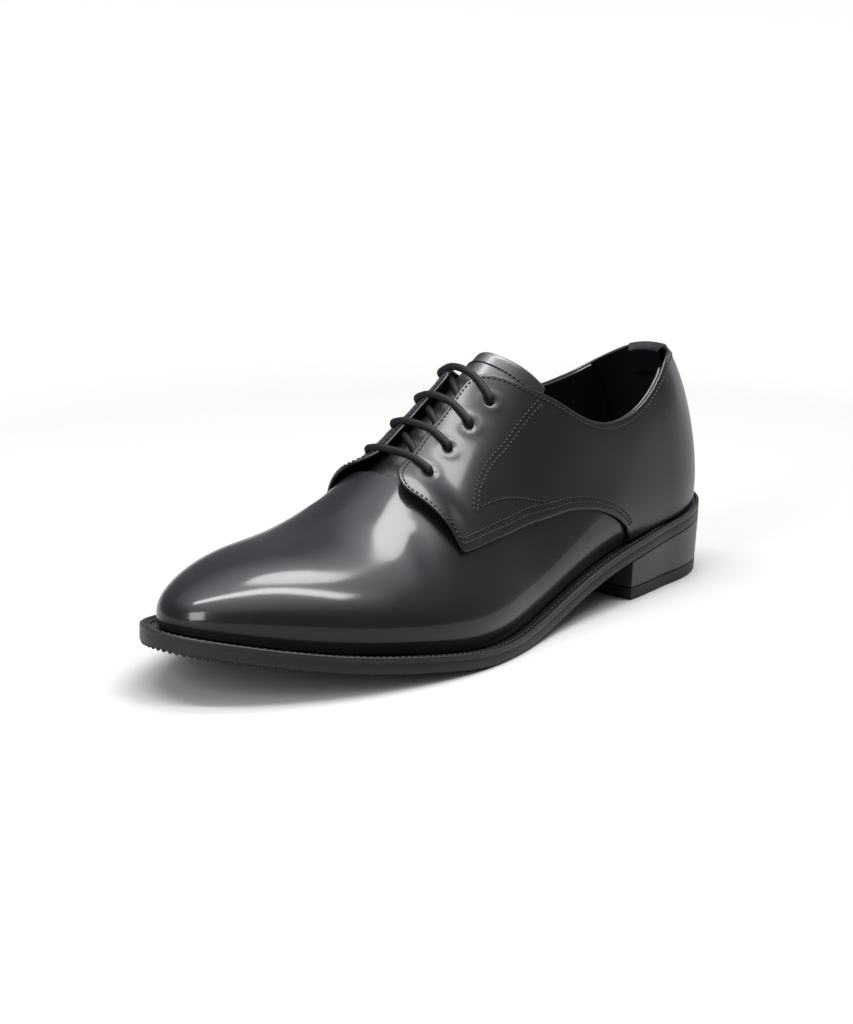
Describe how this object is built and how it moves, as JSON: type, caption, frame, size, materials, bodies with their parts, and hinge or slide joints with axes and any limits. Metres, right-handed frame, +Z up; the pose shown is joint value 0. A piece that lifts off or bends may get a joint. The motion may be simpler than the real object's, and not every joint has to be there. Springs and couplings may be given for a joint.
{
  "type": "derby shoe",
  "caption": "Left leather derby shoe with a plain round toe, open lacing over a tongue, welted sole, waist arch and low block heel, standing empty.",
  "frame": {"origin": "on the floor, in the middle of the heel's tread", "axes": "+X to the toe, +Y to the little toe's side, which is the wearer's left, +Z up"},
  "size_m": [0.3047, 0.1055, 0.1045],
  "materials": {
    "outsole": "satin black, with a fine tread left to the renderer",
    "welt": "polished black edge",
    "heel": "polished black edge",
    "top_lift": "satin black",
    "insole": "matt dark lining leather",
    "upper": "smooth black, high polish",
    "quarter": "smooth black, high polish",
    "tongue": "smooth black, soft polish",
    "heel_tab": "smooth black, polished",
    "lace": "waxed round cotton, black"
  },
  "bodies": {
    "root": {"outsole": "outsole", "welt": "welt", "heel": "heel", "top_lift": "top_lift", "insole": "insole", "upper": "upper", "quarter_lateral": "quarter", "quarter_medial": "quarter", "tongue": "tongue", "heel_tab": "heel_tab", "lace": "lace"}
  },
  "joints": []
}
